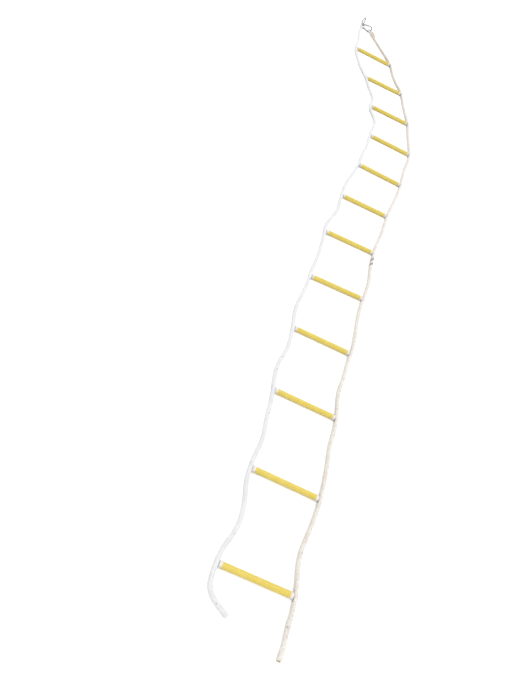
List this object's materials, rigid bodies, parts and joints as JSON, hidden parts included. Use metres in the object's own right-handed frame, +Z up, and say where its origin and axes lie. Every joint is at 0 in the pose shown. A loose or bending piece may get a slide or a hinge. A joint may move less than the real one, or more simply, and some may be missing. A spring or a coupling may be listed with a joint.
{
  "type": "escape rope ladder",
  "caption": "Escape ladder of two braided side ropes with ribbed tube rungs and a spring snap hook at the top of each rope.",
  "frame": {"origin": "on the floor under the middle of the rungs and hooks as the ladder lies stretched out on its back", "axes": "+Y along the ladder towards its hooks, +X to the right seen from the foot with the hooks ahead, +Z up from the floor"},
  "size_m": [0.6586, 5.1487, 0.05],
  "materials": {
    "rope_white": "braided polyester, cool white",
    "rope_cream": "braided polyester, warm cream",
    "twine": "tightly wound waxed twine",
    "rung_plastic": "ribbed yellow, light wear",
    "cap_plastic": "beige, moulded",
    "hook_steel": "dull dark grey steel",
    "pin_steel": "plain pin",
    "spring_steel": "drawn wire"
  },
  "bodies": {
    "top": {"rope_left_top": "rope_white", "rope_right_top": "rope_cream", "whipping_left": "twine", "whipping_right": "twine"},
    "bay_01": {"rung_tube_01": "rung_plastic", "rung_caps_01": "cap_plastic", "rope_left_01": "rope_white", "rope_right_01": "rope_cream"},
    "bay_02": {"rung_tube_02": "rung_plastic", "rung_caps_02": "cap_plastic", "rope_left_02": "rope_white", "rope_right_02": "rope_cream"},
    "bay_03": {"rung_tube_03": "rung_plastic", "rung_caps_03": "cap_plastic", "rope_left_03": "rope_white", "rope_right_03": "rope_cream"},
    "bay_04": {"rung_tube_04": "rung_plastic", "rung_caps_04": "cap_plastic", "rope_left_04": "rope_white", "rope_right_04": "rope_cream"},
    "bay_05": {"rung_tube_05": "rung_plastic", "rung_caps_05": "cap_plastic", "rope_left_05": "rope_white", "rope_right_05": "rope_cream"},
    "bay_06": {"rung_tube_06": "rung_plastic", "rung_caps_06": "cap_plastic", "rope_left_06": "rope_white", "rope_right_06": "rope_cream"},
    "bay_07": {"rung_tube_07": "rung_plastic", "rung_caps_07": "cap_plastic", "rope_left_07": "rope_white", "rope_right_07": "rope_cream"},
    "bay_08": {"rung_tube_08": "rung_plastic", "rung_caps_08": "cap_plastic", "rope_left_08": "rope_white", "rope_right_08": "rope_cream"},
    "bay_09": {"rung_tube_09": "rung_plastic", "rung_caps_09": "cap_plastic", "rope_left_09": "rope_white", "rope_right_09": "rope_cream"},
    "bay_10": {"rung_tube_10": "rung_plastic", "rung_caps_10": "cap_plastic", "rope_left_10": "rope_white", "rope_right_10": "rope_cream"},
    "bay_11": {"rung_tube_11": "rung_plastic", "rung_caps_11": "cap_plastic", "rope_left_11": "rope_white", "rope_right_11": "rope_cream"},
    "bay_12": {"rung_tube_12": "rung_plastic", "rung_caps_12": "cap_plastic", "rope_left_tail": "rope_white", "rope_right_tail": "rope_cream"},
    "hook_left": {"hook_left_body": "hook_steel", "hook_left_rivet": "pin_steel"},
    "hook_left_gate": {"hook_left_gate": "hook_steel", "hook_left_spring": "spring_steel"},
    "hook_right": {"hook_right_body": "hook_steel", "hook_right_rivet": "pin_steel"},
    "hook_right_gate": {"hook_right_gate": "hook_steel", "hook_right_spring": "spring_steel"}
  },
  "joints": [
    {"name": "fold_01", "type": "hinge", "parent": "top", "child": "bay_01", "pos_m": [-0.132, 1.902, 0.013], "axis": [0.9986, 0.0529, 0], "range_deg": [-90, 90]},
    {"name": "fold_02", "type": "hinge", "parent": "bay_01", "child": "bay_02", "pos_m": [0.013, 1.524, 0.013], "axis": [-0.9971, -0.0762, 0], "range_deg": [-90, 90]},
    {"name": "fold_03", "type": "hinge", "parent": "bay_02", "child": "bay_03", "pos_m": [0.108, 1.137, 0.013], "axis": [0.9989, 0.047, 0], "range_deg": [-90, 90]},
    {"name": "fold_04", "type": "hinge", "parent": "bay_03", "child": "bay_04", "pos_m": [0.1535, 0.745, 0.013], "axis": [-0.9998, -0.0176, 0], "range_deg": [-90, 90]},
    {"name": "fold_05", "type": "hinge", "parent": "bay_04", "child": "bay_05", "pos_m": [0.1135, 0.337, 0.013], "axis": [1, -0.0059, 0], "range_deg": [-90, 90]},
    {"name": "fold_06", "type": "hinge", "parent": "bay_05", "child": "bay_06", "pos_m": [0.0455, -0.059, 0.013], "axis": [-0.9998, -0.0176, 0], "range_deg": [-90, 90]},
    {"name": "fold_07", "type": "hinge", "parent": "bay_06", "child": "bay_07", "pos_m": [-0.0075, -0.449, 0.013], "axis": [0.9998, 0.0176, 0], "range_deg": [-90, 90]},
    {"name": "fold_08", "type": "hinge", "parent": "bay_07", "child": "bay_08", "pos_m": [-0.0275, -0.847, 0.013], "axis": [-0.9999, -0.0117, 0], "range_deg": [-90, 90]},
    {"name": "fold_09", "type": "hinge", "parent": "bay_08", "child": "bay_09", "pos_m": [-0.0475, -1.2445, 0.013], "axis": [0.9995, -0.0322, 0], "range_deg": [-90, 90]},
    {"name": "fold_10", "type": "hinge", "parent": "bay_09", "child": "bay_10", "pos_m": [-0.065, -1.639, 0.013], "axis": [-0.9986, 0.0529, 0], "range_deg": [-90, 90]},
    {"name": "fold_11", "type": "hinge", "parent": "bay_10", "child": "bay_11", "pos_m": [-0.074, -2.044, 0.013], "axis": [0.9975, -0.0704, 0], "range_deg": [-90, 90]},
    {"name": "fold_12", "type": "hinge", "parent": "bay_11", "child": "bay_12", "pos_m": [-0.106, -2.4475, 0.013], "axis": [-0.9973, 0.0733, 0], "range_deg": [-90, 90]},
    {"name": "hook_left_swing", "type": "hinge", "parent": "top", "child": "hook_left", "pos_m": [-0.303, 2.383, 0.0168], "axis": [1, 0, 0], "range_deg": [0, 60]},
    {"name": "hook_right_rock", "type": "hinge", "parent": "top", "child": "hook_right", "pos_m": [-0.287, 2.346, 0.0168], "axis": [0.9246, -0.3586, 0.1288], "range_deg": [-3, 6]},
    {"name": "gate_left_open", "type": "hinge", "parent": "hook_left", "child": "hook_left_gate", "pos_m": [-0.29812, 2.38626, 0.02987], "axis": [-0.923, -0.1038, 0.3705], "range_deg": [0, 25], "stiffness_Nm_per_rad": 0.25, "springref_deg": -6.88},
    {"name": "gate_right_open", "type": "hinge", "parent": "hook_right", "child": "hook_right_gate", "pos_m": [-0.28143, 2.35106, 0.02899], "axis": [0.3732, 0.7841, -0.4958], "range_deg": [0, 25], "stiffness_Nm_per_rad": 0.25, "springref_deg": -6.88}
  ]
}
